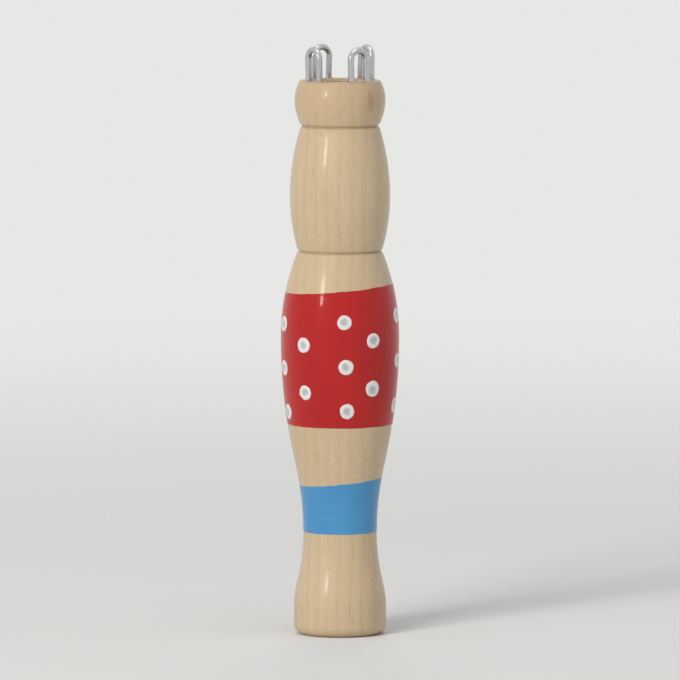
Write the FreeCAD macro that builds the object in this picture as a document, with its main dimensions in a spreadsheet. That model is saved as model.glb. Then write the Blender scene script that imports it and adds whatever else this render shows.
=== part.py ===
import FreeCAD, Part
import math
import os
import Sketcher

# A turned wooden knitting doll that makes i-cord, in millimetres.
# It stands on z = 0 with its bore along the Z axis, and its front looks along -Y.

doc = FreeCAD.newDocument("knitting_doll")

# Driving sizes: name, value in millimetres or degrees, and what it is.
# Rises stack up from the base: each runs from the ring before it to its own ring.
DRIVING_SIZES = [
    ("foot_radius", 9.3, "widest ring of the foot"),
    ("foot_edge_round", 2.0, "round between the base and the side of the foot"),
    ("foot_rise", 5.5, "base to the foot's widest ring"),
    ("foot_roll_rise", 4.9, "height over which the foot rolls in before the hollow starts"),
    ("waist_radius", 7.4, "narrowest ring, gripped between two fingers"),
    ("waist_rise", 15.5, "foot's widest ring to the waist"),
    ("waist_sweep_rise", 12.8, "height over which the hollow sweeps out above the waist"),
    ("belly_radius", 11.9, "widest ring of the doll"),
    ("belly_rise", 39.2, "waist to the belly's widest ring"),
    ("neck_depth", 1.6, "neck groove below the bulb's widest ring"),
    ("neck_rise", 17.45, "belly's widest ring to the neck groove"),
    ("bulb_radius", 10.1, "widest ring of the bulb under the head"),
    ("bulb_rise", 11.05, "neck groove to the bulb's widest ring"),
    ("collar_depth", 1.3, "collar groove below the head's widest ring"),
    ("collar_rise", 14.2, "bulb's widest ring to the collar groove"),
    ("head_radius", 9.15, "widest ring of the head"),
    ("head_rise", 5.2, "collar groove to the head's widest ring"),
    ("rim_inset", 1.05, "edge of the flat top in from the head's widest ring"),
    ("rim_round", 0.5, "soft edge round the flat top"),
    ("crown_rise", 3.9, "head's widest ring to the flat top"),
    ("v_cut_depth", 0.28, "V cut below the corner where two swells meet"),
    ("v_cut_angle", 70, "included angle of the V cut, in degrees"),
    ("v_cut_run_out", 1.0, "reach of the cutting point beyond that corner"),
    ("bore_radius", 4.5, "hole that the finished cord passes down"),
    ("mouth_chamfer", 0.8, "eased edge at both mouths of the bore"),
    ("wire_diameter", 1.3, "steel wire of the staples"),
    ("staple_width", 3.7, "middle of one leg to the middle of the other"),
    ("staple_proud", 7.0, "staple's top above the flat top"),
    ("staple_sunk", 7.0, "leg driven into the wood"),
    ("leg_tip_chamfer", 0.3, "lead-in at the driven tips"),
    ("leg_hole_clearance", 0.01, "hole radius over leg radius"),
    ("paint_turn", 36, "middle of the painted front, left of the front staple, in degrees"),
    ("paint_thickness", 0.15, "two brushed coats of enamel"),
    ("red_above_belly", 10.0, "belly's widest ring to the red coat's top edge"),
    ("red_below_belly", 17.75, "belly's widest ring to the red coat's bottom edge"),
    ("red_top_tilt", 4.5, "hand-held brush: top edge out of level, in degrees"),
    ("blue_above_waist", 9.8, "waist to the blue coat's top edge"),
    ("blue_below_waist", 0.4, "waist to the blue coat's bottom edge"),
    ("blue_top_tilt", 4.0, "hand-held brush: top edge out of level, in degrees"),
    ("dot_diameter", 3.2, "one dab of white paint"),
    ("dot_thickness", 0.15, "dab of paint above the red coat"),
    ("dots_below_belly", 5.2, "belly's widest ring to the middle of the dot rows"),
    ("three_dot_step", 8.95, "height step in the columns of three"),
    ("two_dot_step", 9.6, "height step in the columns of two"),
    ("three_dot_turn", 1.75, "first column of three, right of the painted middle, in degrees"),
    ("two_dot_turn", 32.5, "first column of two, right of the painted middle, in degrees"),
    ("dot_tilt", 3.7, "rows of dots out of level, in degrees"),
]

STAPLES = ("staple_front", "staple_right", "staple_back", "staple_left")
COLUMNS_OF_A_KIND = 5
FULL_TURN = 360
SAME_PLACE = 1e-4

# Which point of a curve a constraint holds, and a sketch's own origin and upright axis.
START, END, CENTRE = 1, 2, 3
ORIGIN = (-1, 1)
LEVEL_AXIS = -1
UPRIGHT_AXIS = -2
UP = FreeCAD.Vector(0, 0, 1)
DOWN = FreeCAD.Vector(0, 0, -1)

sizes = doc.addObject("Spreadsheet::Sheet", "Sizes")
for row, (name, value, meaning) in enumerate(DRIVING_SIZES, start=1):
    sizes.set(f"A{row}", name)
    sizes.set(f"B{row}", str(value))
    sizes.setAlias(f"B{row}", name)
    sizes.set(f"C{row}", meaning)
doc.recompute()

# Heights and radii that follow from the driving sizes.
stations = doc.addObject("App::VarSet", "Stations")


def follow(name, formula):
    """Add a station whose value follows a formula on the sheet."""
    stations.addProperty("App::PropertyFloat", name, "Stations")
    stations.setExpression(name, formula)
    doc.recompute()


follow("foot", "Sizes.foot_rise")
follow("foot_roll", "Stations.foot + Sizes.foot_roll_rise")
follow("waist", "Stations.foot + Sizes.waist_rise")
follow("waist_sweep", "Stations.waist + Sizes.waist_sweep_rise")
follow("belly", "Stations.waist + Sizes.belly_rise")
follow("neck", "Stations.belly + Sizes.neck_rise")
follow("bulb", "Stations.neck + Sizes.bulb_rise")
follow("collar", "Stations.bulb + Sizes.collar_rise")
follow("head", "Stations.collar + Sizes.head_rise")
follow("top", "Stations.head + Sizes.crown_rise")
follow("neck_radius", "Sizes.bulb_radius - Sizes.neck_depth")
follow("collar_radius", "Sizes.head_radius - Sizes.collar_depth")
follow("rim_radius", "Sizes.head_radius - Sizes.rim_inset")
follow("mouth_radius", "Sizes.bore_radius + Sizes.mouth_chamfer")
follow("leg_circle", "(Stations.mouth_radius + Stations.rim_radius) / 2")
follow("staple_offset", "sqrt(Stations.leg_circle ^ 2 - (Sizes.staple_width / 2) ^ 2)")
follow("dot_rows", "Stations.belly - Sizes.dots_below_belly")


def number(formula):
    """The present value of a formula on the sheet."""
    return float(stations.evalExpression(formula))


def constrain(sketch, kind, *references):
    """A geometric constraint, such as a tangent or a shared point."""
    sketch.addConstraint(Sketcher.Constraint(kind, *references))


def dimension(sketch, kind, *references, size):
    """A dimensional constraint whose value follows a formula."""
    index = sketch.addConstraint(Sketcher.Constraint(kind, *references, number(size)))
    sketch.setExpression(f"Constraints[{index}]", size)


def place(sketch, curve, point, across, up):
    """Hold one point of a curve at two distances from the sketch's origin."""
    dimension(sketch, "DistanceX", *ORIGIN, curve, point, size=across)
    dimension(sketch, "DistanceY", *ORIGIN, curve, point, size=up)


def origin_feature(body, role):
    """A plane or an axis of the body's own origin."""
    return next(item for item in body.Origin.OriginFeatures if item.Role == role)


def new_body(name):
    """A body whose label is its node's name."""
    body = doc.addObject("PartDesign::Body", name)
    body.Label = name
    return body


def new_sketch(body, name, plane):
    """A sketch on one of the body's own origin planes."""
    sketch = body.newObject("Sketcher::SketchObject", name)
    sketch.AttachmentSupport = [(origin_feature(body, plane), "")]
    sketch.MapMode = "FlatFace"
    return sketch


def draw_line(sketch, start, end):
    """A straight line between two (x, y) pairs."""
    return sketch.addGeometry(Part.LineSegment(FreeCAD.Vector(*start, 0), FreeCAD.Vector(*end, 0)))


def draw_circle(sketch, centre, radius):
    """A whole circle, its size bound to a formula."""
    ring = sketch.addGeometry(Part.Circle(FreeCAD.Vector(*centre, 0), UP, number(radius)))
    dimension(sketch, "Radius", ring, size=radius)
    return ring


def draw_arc(sketch, start, end, centre):
    """An arc that runs anticlockwise from start to end."""
    circle = Part.Circle(FreeCAD.Vector(*centre, 0), UP, math.dist(start, centre))
    first = math.atan2(start[1] - centre[1], start[0] - centre[0])
    last = math.atan2(end[1] - centre[1], end[0] - centre[0])
    return sketch.addGeometry(Part.ArcOfCircle(circle, first, last))


def level_centre(start, end, level):
    """Centre, at one height, of the arc through two points."""
    middle_x = (start[0] + end[0]) / 2
    middle_y = (start[1] + end[1]) / 2
    slope = (end[1] - start[1]) / (end[0] - start[0])
    return (middle_x - (level - middle_y) * slope, level)


def draw_swell(sketch, low, high, widest):
    """A round swell between two rings: one arc that is upright at its widest ring."""
    return draw_arc(sketch, low, high, level_centre(low, high, widest))


def draw_hollow(sketch, low, high, narrowest):
    """A hollow between two rings: one arc that is upright at its narrowest ring."""
    return draw_arc(sketch, high, low, level_centre(low, high, narrowest))


def turned_outline(sketch, grow):
    """Half the doll's outline, from the base up to the flat top and back down the axis."""
    rings = {}
    for ring, radius in (
        ("foot", "Sizes.foot_radius"),
        ("waist", "Sizes.waist_radius"),
        ("belly", "Sizes.belly_radius"),
        ("neck", "Stations.neck_radius"),
        ("bulb", "Sizes.bulb_radius"),
        ("collar", "Stations.collar_radius"),
        ("head", "Sizes.head_radius"),
        ("top", "Stations.rim_radius"),
    ):
        rings[ring] = (f"{radius} + {grow}", f"Stations.{ring}")
    spot = {ring: (number(radius), number(level)) for ring, (radius, level) in rings.items()}

    def turn_point(low, high, level):
        """Where a swell turns into a hollow: on the chord between their two rings."""
        share = (level - spot[low][1]) / (spot[high][1] - spot[low][1])
        return (spot[low][0] + share * (spot[high][0] - spot[low][0]), level)

    foot_turn = turn_point("foot", "waist", number("Stations.foot_roll"))
    waist_turn = turn_point("waist", "belly", number("Stations.waist_sweep"))
    edge = number("Sizes.foot_edge_round")
    edge_start = (spot["foot"][0] - edge, 0)
    edge_end = (spot["foot"][0], edge)

    base = draw_line(sketch, (0, 0), edge_start)
    foot_edge = draw_arc(sketch, edge_start, edge_end, (edge_start[0], edge))
    foot_side = draw_line(sketch, edge_end, spot["foot"])
    foot_roll = draw_swell(sketch, spot["foot"], foot_turn, spot["foot"][1])
    waist_low = draw_hollow(sketch, foot_turn, spot["waist"], spot["waist"][1])
    waist_high = draw_hollow(sketch, spot["waist"], waist_turn, spot["waist"][1])
    belly_low = draw_swell(sketch, waist_turn, spot["belly"], spot["belly"][1])
    belly_high = draw_swell(sketch, spot["belly"], spot["neck"], spot["belly"][1])
    bulb_low = draw_swell(sketch, spot["neck"], spot["bulb"], spot["bulb"][1])
    bulb_high = draw_swell(sketch, spot["bulb"], spot["collar"], spot["bulb"][1])
    head_low = draw_swell(sketch, spot["collar"], spot["head"], spot["head"][1])
    head_high = draw_swell(sketch, spot["head"], spot["top"], spot["head"][1])
    flat_top = draw_line(sketch, spot["top"], (0, spot["top"][1]))
    axis = draw_line(sketch, (0, spot["top"][1]), (0, 0))

    for first, first_end, second, second_end in (
        (base, END, foot_edge, START),
        (foot_edge, END, foot_side, START),
        (foot_side, END, foot_roll, START),
        (waist_low, START, waist_high, END),
        (belly_low, END, belly_high, START),
        (belly_high, END, bulb_low, START),
        (bulb_low, END, bulb_high, START),
        (bulb_high, END, head_low, START),
        (head_low, END, head_high, START),
        (head_high, END, flat_top, START),
        (flat_top, END, axis, START),
        (axis, END, base, START),
    ):
        constrain(sketch, "Coincident", first, first_end, second, second_end)
    constrain(sketch, "Tangent", foot_roll, END, waist_low, END)
    constrain(sketch, "Tangent", waist_high, START, belly_low, START)
    constrain(sketch, "Coincident", base, START, *ORIGIN)
    constrain(sketch, "Horizontal", base)
    constrain(sketch, "Vertical", axis)
    constrain(sketch, "Horizontal", flat_top)
    constrain(sketch, "Vertical", foot_edge, START, foot_edge, CENTRE)
    constrain(sketch, "Horizontal", foot_edge, END, foot_edge, CENTRE)
    constrain(sketch, "Vertical", foot_side)
    dimension(sketch, "Radius", foot_edge, size="Sizes.foot_edge_round")

    for arc, end in (
        (foot_roll, START),
        (waist_low, START),
        (waist_high, END),
        (belly_low, END),
        (belly_high, START),
        (bulb_low, END),
        (bulb_high, START),
        (head_low, END),
        (head_high, START),
    ):
        constrain(sketch, "Horizontal", arc, end, arc, CENTRE)
    for ring, arc, end in (
        ("foot", foot_roll, START),
        ("waist", waist_high, END),
        ("belly", belly_high, START),
        ("neck", bulb_low, START),
        ("bulb", bulb_high, START),
        ("collar", head_low, START),
        ("head", head_high, START),
        ("top", flat_top, START),
    ):
        place(sketch, arc, end, *rings[ring])
    dimension(sketch, "DistanceY", *ORIGIN, foot_roll, END, size="Stations.foot_roll")
    dimension(sketch, "DistanceY", *ORIGIN, belly_low, START, size="Stations.waist_sweep")


def turn_solid(body, kind, name, grow):
    """Turn the outline about the Z axis, to add a solid or to take one away."""
    sketch = new_sketch(body, f"{name}_outline", "XZ_Plane")
    turned_outline(sketch, grow)
    turned = body.newObject(kind, name)
    turned.Profile = sketch
    turned.ReferenceAxis = (sketch, ["V_Axis"])
    turned.Angle = FULL_TURN
    doc.recompute()


def ring_edges(shape, radius, height):
    """Names of the round edges whose radius and height two formulas give."""
    wanted = (number(radius), number(height))
    found = []
    for index, edge in enumerate(shape.Edges, start=1):
        if isinstance(edge.Curve, Part.Circle):
            if math.dist(wanted, (edge.Curve.Radius, edge.Curve.Center.z)) < SAME_PLACE:
                found.append(f"Edge{index}")
    if not found:
        raise ValueError(f"no ring of radius {radius} at height {height}")
    return found


def cut_v_grooves(body):
    """Fine V cuts at the neck and at the collar, where two swells meet."""
    sketch = new_sketch(body, "v_cuts", "XZ_Plane")
    spread = "(Sizes.v_cut_depth + Sizes.v_cut_run_out) * tan(Sizes.v_cut_angle / 2)"
    for radius, level in (
        ("Stations.neck_radius", "Stations.neck"),
        ("Stations.collar_radius", "Stations.collar"),
    ):
        tip = (number(f"{radius} - Sizes.v_cut_depth"), number(level))
        mouth = number(f"{radius} + Sizes.v_cut_run_out")
        lower = (mouth, tip[1] - number(spread))
        upper = (mouth, tip[1] + number(spread))
        first = draw_line(sketch, tip, lower)
        mouth_line = draw_line(sketch, lower, upper)
        last = draw_line(sketch, upper, tip)
        constrain(sketch, "Coincident", first, END, mouth_line, START)
        constrain(sketch, "Coincident", mouth_line, END, last, START)
        constrain(sketch, "Coincident", last, END, first, START)
        constrain(sketch, "Vertical", mouth_line)
        constrain(sketch, "Equal", first, last)
        place(sketch, first, START, f"{radius} - Sizes.v_cut_depth", level)
        dimension(sketch, "DistanceX", *ORIGIN, first, END, size=f"{radius} + Sizes.v_cut_run_out")
        dimension(sketch, "DistanceY", first, END, first, START, size=spread)
    groove = body.newObject("PartDesign::Groove", "v_grooves")
    groove.Profile = sketch
    groove.ReferenceAxis = (sketch, ["V_Axis"])
    groove.Angle = FULL_TURN
    doc.recompute()


def bore_through(body):
    """The cord's bore, right through, with both mouths eased."""
    sketch = new_sketch(body, "bore_circle", "XY_Plane")
    ring = draw_circle(sketch, (0, 0), "Sizes.bore_radius")
    constrain(sketch, "Coincident", ring, CENTRE, *ORIGIN)
    bore = body.newObject("PartDesign::Pocket", "bore")
    bore.Profile = sketch
    bore.Type = "ThroughAll"
    bore.Reversed = True
    doc.recompute()

    mouths = body.newObject("PartDesign::Chamfer", "mouth_chamfers")
    lower_mouth = ring_edges(bore.Shape, "Sizes.bore_radius", "0")
    upper_mouth = ring_edges(bore.Shape, "Sizes.bore_radius", "Stations.top")
    mouths.Base = (bore, lower_mouth + upper_mouth)
    mouths.Size = number("Sizes.mouth_chamfer")
    mouths.setExpression("Size", "Sizes.mouth_chamfer")
    doc.recompute()

    rim = body.newObject("PartDesign::Fillet", "rim_edge")
    rim.Base = (mouths, ring_edges(mouths.Shape, "Stations.rim_radius", "Stations.top"))
    rim.Radius = number("Sizes.rim_round")
    rim.setExpression("Radius", "Sizes.rim_round")
    doc.recompute()


def drill_leg_holes(body):
    """A pair of blind holes in the flat top for each staple."""
    sketch = new_sketch(body, "leg_circles", "XY_Plane")
    sketch.setExpression("AttachmentOffset.Base.z", "Stations.top")
    hole_size = "Sizes.wire_diameter / 2 + Sizes.leg_hole_clearance"
    for side in (-1, 1):
        across = f"{side} * Sizes.staple_width / 2"
        forward = "-Stations.staple_offset"
        hole = draw_circle(sketch, (number(across), number(forward)), hole_size)
        place(sketch, hole, CENTRE, across, forward)
    holes = body.newObject("PartDesign::Pocket", "leg_holes")
    holes.Profile = sketch
    holes.Length = number("Sizes.staple_sunk")
    holes.setExpression("Length", "Sizes.staple_sunk")
    doc.recompute()

    round_the_bore = body.newObject("PartDesign::PolarPattern", "leg_hole_pattern")
    round_the_bore.Originals = [holes]
    round_the_bore.Axis = (origin_feature(body, "Z_Axis"), [""])
    round_the_bore.Angle = FULL_TURN
    round_the_bore.Occurrences = len(STAPLES)
    body.Tip = round_the_bore
    doc.recompute()


def make_turned_body():
    """The one piece of wood: turned outside, bored through, drilled for the staples."""
    body = new_body("turned_body")
    turn_solid(body, "PartDesign::Revolution", "turned_outside", "0")
    cut_v_grooves(body)
    bore_through(body)
    drill_leg_holes(body)
    return body


def make_staple(name, turn):
    """A U-shaped wire staple, its legs driven into the flat top, turned round the bore."""
    body = new_body(name)
    half_width = number("Sizes.staple_width / 2")
    bend_formula = (
        "Sizes.staple_sunk + Sizes.staple_proud - Sizes.wire_diameter / 2 - Sizes.staple_width / 2"
    )
    bend = number(bend_formula)

    path = new_sketch(body, f"{name}_path", "XZ_Plane")
    left = draw_line(path, (-half_width, 0), (-half_width, bend))
    crown = draw_arc(path, (half_width, bend), (-half_width, bend), (0, bend))
    right = draw_line(path, (half_width, bend), (half_width, 0))
    constrain(path, "Tangent", left, END, crown, END)
    constrain(path, "Tangent", crown, START, right, START)
    constrain(path, "Vertical", left)
    constrain(path, "PointOnObject", left, START, LEVEL_AXIS)
    constrain(path, "PointOnObject", right, END, LEVEL_AXIS)
    constrain(path, "PointOnObject", crown, CENTRE, UPRIGHT_AXIS)
    dimension(path, "Radius", crown, size="Sizes.staple_width / 2")
    dimension(path, "DistanceY", left, START, left, END, size=bend_formula)

    section = new_sketch(body, f"{name}_section", "XY_Plane")
    wire = draw_circle(section, (-half_width, 0), "Sizes.wire_diameter / 2")
    constrain(section, "PointOnObject", wire, CENTRE, LEVEL_AXIS)
    dimension(section, "DistanceX", *ORIGIN, wire, CENTRE, size="-Sizes.staple_width / 2")
    doc.recompute()

    bent_wire = body.newObject("PartDesign::AdditivePipe", f"{name}_wire")
    bent_wire.Profile = section
    bent_wire.Spine = (path, ["Edge1", "Edge2", "Edge3"])
    doc.recompute()

    tips = body.newObject("PartDesign::Chamfer", f"{name}_tips")
    tips.Base = (bent_wire, ring_edges(bent_wire.Shape, "Sizes.wire_diameter / 2", "0"))
    tips.Size = number("Sizes.leg_tip_chamfer")
    tips.setExpression("Size", "Sizes.leg_tip_chamfer")

    body.Placement = FreeCAD.Placement(FreeCAD.Vector(), FreeCAD.Rotation(UP, turn))
    body.setExpression("Placement.Base.x", f"Stations.staple_offset * sin({turn})")
    body.setExpression("Placement.Base.y", f"-Stations.staple_offset * cos({turn})")
    body.setExpression("Placement.Base.z", "Stations.top - Sizes.staple_sunk")
    doc.recompute()
    return body


def mask_band(body, name, bottom, top, tilt):
    """Trim a layer to the band between two edges, the top one out of level by the tilt."""
    reach = "2 * Sizes.belly_radius"
    beyond = "Stations.top * 2"
    lift = f"{reach} * tan({tilt})"
    left, right = f"-({reach})", reach
    above = ((left, f"{top} - {lift}"), (right, f"{top} + {lift}"), (right, beyond), (left, beyond))
    below = ((left, f"-({beyond})"), (right, f"-({beyond})"), (right, bottom), (left, bottom))
    sketch = new_sketch(body, f"{name}_mask", "XZ_Plane")
    for corners in (above, below):
        spots = [(number(across), number(up)) for across, up in corners]
        sides = [draw_line(sketch, spots[i - 1], spots[i]) for i in range(len(corners))]
        for i, corner in enumerate(corners):
            constrain(sketch, "Coincident", sides[i - 1], END, sides[i], START)
            place(sketch, sides[i], END, *corner)
    masked = body.newObject("PartDesign::Pocket", f"{name}_masked")
    masked.Profile = sketch
    masked.Type = "ThroughAll"
    masked.SideType = "Symmetric"
    doc.recompute()


def turn_paint(feature):
    """Turn a feature with the painted front, to the left of the front staple."""
    turn = FreeCAD.Rotation(DOWN, number("Sizes.paint_turn"))
    feature.Placement = FreeCAD.Placement(FreeCAD.Vector(), turn)
    feature.setExpression("Placement.Rotation.Angle", "Sizes.paint_turn")
    doc.recompute()


def make_layer(name, under, thickness, bottom, top, tilt):
    """A layer of paint that follows the turned outline between two edges."""
    body = new_body(name)
    turn_solid(body, "PartDesign::Revolution", f"{name}_outside", f"{under} + {thickness}")
    mask_band(body, name, bottom, top, tilt)
    turn_solid(body, "PartDesign::Groove", f"{name}_inside", under)
    turn_paint(body)
    return body


def make_red_coat():
    return make_layer(
        "red_paint_coat",
        under="0",
        thickness="Sizes.paint_thickness",
        bottom="Stations.belly - Sizes.red_below_belly",
        top="Stations.belly + Sizes.red_above_belly",
        tilt="Sizes.red_top_tilt",
    )


def make_blue_coat():
    return make_layer(
        "blue_paint_coat",
        under="0",
        thickness="Sizes.paint_thickness",
        bottom="Stations.waist - Sizes.blue_below_waist",
        top="Stations.waist + Sizes.blue_above_waist",
        tilt="Sizes.blue_top_tilt",
    )


def make_dab_core(name, turn, height):
    """A rod from the axis out through the belly, where one dab of paint goes."""
    rod = doc.addObject("Part::Cylinder", name)
    rod.setExpression("Radius", "Sizes.dot_diameter / 2")
    rod.setExpression("Height", "2 * Sizes.belly_radius")
    rod.Placement.Rotation = FreeCAD.Rotation(FreeCAD.Vector(1, 0, 0), FULL_TURN / 4)
    rod.setExpression("Placement.Rotation.Axis.x", f"cos({turn})")
    rod.setExpression("Placement.Rotation.Axis.y", f"sin({turn})")
    slope = f"Sizes.belly_radius * sin({turn}) * tan(Sizes.dot_tilt)"
    rod.setExpression("Placement.Base.z", f"{height} + {slope}")
    return rod


def make_dots():
    """White dabs on the red coat: columns of three and of two in turn."""
    layer = make_layer(
        "dot_layer",
        under="Sizes.paint_thickness",
        thickness="Sizes.dot_thickness",
        bottom="Stations.belly - Sizes.red_below_belly",
        top="Stations.belly + Sizes.red_above_belly",
        tilt="Sizes.red_top_tilt",
    )
    rods = []
    column_angle = FULL_TURN / COLUMNS_OF_A_KIND
    for kind, first_turn, step, dots in (
        ("three", "Sizes.three_dot_turn", "Sizes.three_dot_step", 3),
        ("two", "Sizes.two_dot_turn", "Sizes.two_dot_step", 2),
    ):
        for column in range(COLUMNS_OF_A_KIND):
            for dot in range(dots):
                turn = f"({first_turn} + {column_angle * column})"
                height = f"(Stations.dot_rows + {dot - (dots - 1) / 2} * {step})"
                rods.append(make_dab_core(f"{kind}_{column}_{dot}", turn, height))
    doc.recompute()
    cores = doc.addObject("Part::Compound", "dab_cores")
    cores.Links = rods
    turn_paint(cores)
    dots = doc.addObject("Part::Common", "white_dot_paint")
    dots.Label = "white_dot_paint"
    dots.Base = layer
    dots.Tool = cores
    doc.recompute()
    return dots


pieces = [make_turned_body()]
for index, staple_name in enumerate(STAPLES):
    pieces.append(make_staple(staple_name, FULL_TURN / len(STAPLES) * index))
pieces.append(make_red_coat())
pieces.append(make_blue_coat())
pieces.append(make_dots())
doc.recompute()

for item in doc.Objects:
    if "Invalid" in item.State or "Error" in item.State:
        raise ValueError(f"{item.Label} failed: {item.State}")
for piece in pieces:
    if piece.Shape.isNull() or not piece.Shape.isValid():
        raise ValueError(f"{piece.Label} has no valid shape")

os.makedirs("parts", exist_ok=True)
for piece in pieces:
    piece.Shape.exportStep(f"parts/{piece.Label}.step")
    print(piece.Label, len(piece.Shape.Solids), "solids", round(piece.Shape.Volume, 3), "mm3")
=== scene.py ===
import math
import bmesh
import bpy
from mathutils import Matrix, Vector


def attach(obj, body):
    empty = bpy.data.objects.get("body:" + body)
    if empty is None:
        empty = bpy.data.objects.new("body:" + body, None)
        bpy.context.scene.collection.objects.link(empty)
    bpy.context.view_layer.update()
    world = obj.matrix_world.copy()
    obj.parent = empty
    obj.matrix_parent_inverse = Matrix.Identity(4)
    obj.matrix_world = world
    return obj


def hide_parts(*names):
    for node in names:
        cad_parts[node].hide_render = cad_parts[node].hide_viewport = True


# A turned wooden knitting doll: it stands on the floor with its bore along Z.
# Lengths are in metres, and in millimetres where MM multiplies them.

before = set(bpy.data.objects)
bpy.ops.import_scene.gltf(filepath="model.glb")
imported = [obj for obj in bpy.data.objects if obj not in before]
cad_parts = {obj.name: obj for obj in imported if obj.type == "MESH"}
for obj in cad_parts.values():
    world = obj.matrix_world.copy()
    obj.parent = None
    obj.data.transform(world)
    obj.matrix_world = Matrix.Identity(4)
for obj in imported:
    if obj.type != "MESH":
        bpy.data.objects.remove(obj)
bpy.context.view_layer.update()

MM = 0.001
FULL_TURN = 2 * math.pi

# Radius and height of each ring of the turned outline, in millimetres.
FOOT = (9.3, 5.5)
WAIST = (7.4, 21.0)
BELLY = (11.9, 60.2)
NECK = (8.5, 77.65)
BULB = (10.1, 88.7)
COLLAR = (7.85, 102.9)
HEAD = (9.15, 108.1)
TOP = (8.1, 112.0)

# More sizes of the wood, in millimetres.
FOOT_ROLL = 10.4
WAIST_SWEEP = 33.8
FOOT_EDGE = 2.0
RIM_ROUND = 0.5
BORE = 4.5
MOUTH = 5.3
V_DEPTH = 0.28
V_SLOPE = math.tan(math.radians(35))
V_TIP_ROUND = 0.05
SANDED_EDGE = 0.2

# How finely the outline is drawn, in millimetres, and how near to a V cut it is drawn finely.
COARSE_STEP = 0.5
FINE_STEP = 0.06
CUT_REACH = 0.75
BASE_STEP = 0.4
FLAT_TOP_STEP = 0.1
TOP_MOUTH_STEP = 0.16
LOWER_MOUTH_STEP = 0.3
BORE_STEP = 4.0
FOOT_EDGE_FACETS = 12
RIM_FACETS = 9

# The staples, in millimetres: the wire's radius, and legs on a circle that halves the flat top.
WIRE = 0.65
STAPLE_WIDTH = 3.7
STAPLE_SUNK = 7.0
STAPLE_PROUD = 7.0
LEG_CIRCLE = (MOUTH + TOP[0]) / 2
STAPLE_OFFSET = math.sqrt(LEG_CIRCLE**2 - (STAPLE_WIDTH / 2) ** 2)
TIP_CHAMFER = 0.3

# In the wood, in millimetres: where its tree's pith lay, how wide the tree's rings are, between
# which heights the head is painted darker as shade, and the streak's height and half sizes.
PITH = (-31, 22)
RING_WIDTH = 2.3
HEAD_SHADE_HEIGHTS = (103, 111)
STREAK_TURN = math.radians(43)
STREAK_RISE = 108.3
STREAK_REACH = (1.2, 3.2)

# The painted front, the thickness of a coat, and how deep its closed back lies under the surface.
PAINT_TURN = math.radians(-36)
PAINT = 0.07 * MM
ROOT = 0.03 * MM
RED_BAND = (42.6 * MM, 70.2 * MM)
BLUE_BAND = (20.8 * MM, 31.0 * MM)
RED_TILT = math.radians(4.5)
BLUE_TILT = math.radians(4.0)
DAB_TILT = math.radians(3.7)
DAB_RADIUS = 1.55 * MM
DAB_THICKNESS = 0.16 * MM
DAB_ROWS = 55.0 * MM
BAND_EDGE = 0.22 * MM
# Each column of dabs: how many, how far right of the painted middle it stands, how far each
# dab leans right of the one above it, both in degrees, and the height between them in mm.
DAB_COLUMNS = (
    (3, 5.9, 1.5, 9.0),
    (2, 34.4, 0.3, 9.7),
    (3, 74.6, 0.6, 9.1),
    (2, 105.5, -0.8, 9.6),
    (3, 145.0, -0.5, 8.9),
    (2, 177.5, 0.9, 9.5),
    (3, 218.4, 0.7, 9.0),
    (2, 249.0, -0.4, 9.7),
    (3, 289.2, 0.9, 8.9),
    (2, 322.3, 0.1, 9.6),
)

# How far from the bore's axis a ray starts that looks for the surface under the paint, and how
# far apart two points of a seam may lie and still be made one, in metres.
RAY_START = 30 * MM
SEAM = 1e-6


def colour(red, green, blue):
    """A colour written in 0 to 255, as a shader wants it."""
    levels = [level / 255 for level in (red, green, blue)]
    linear = [
        level / 12.92 if level <= 0.04045 else ((level + 0.055) / 1.055) ** 2.4
        for level in levels
    ]
    return (*linear, 1)


class Wire:
    """The output of a node; arithmetic on it adds the nodes that work it out."""

    def __init__(self, tree, socket):
        self.tree = tree
        self.socket = socket

    def also(self, name):
        """Another output of the same node."""
        return Wire(self.tree, self.socket.node.outputs[name])

    def __add__(self, other):
        return self.tree.maths("ADD", self, other)

    def __radd__(self, other):
        return self.tree.maths("ADD", other, self)

    def __sub__(self, other):
        return self.tree.maths("SUBTRACT", self, other)

    def __rsub__(self, other):
        return self.tree.maths("SUBTRACT", other, self)

    def __mul__(self, other):
        return self.tree.maths("MULTIPLY", self, other)

    def __rmul__(self, other):
        return self.tree.maths("MULTIPLY", other, self)

    def __truediv__(self, other):
        return self.tree.maths("DIVIDE", self, other)

    def __rtruediv__(self, other):
        return self.tree.maths("DIVIDE", other, self)

    def __neg__(self):
        return self.tree.maths("MULTIPLY", self, -1.0)

    def __abs__(self):
        return self.tree.maths("ABSOLUTE", self)


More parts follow.
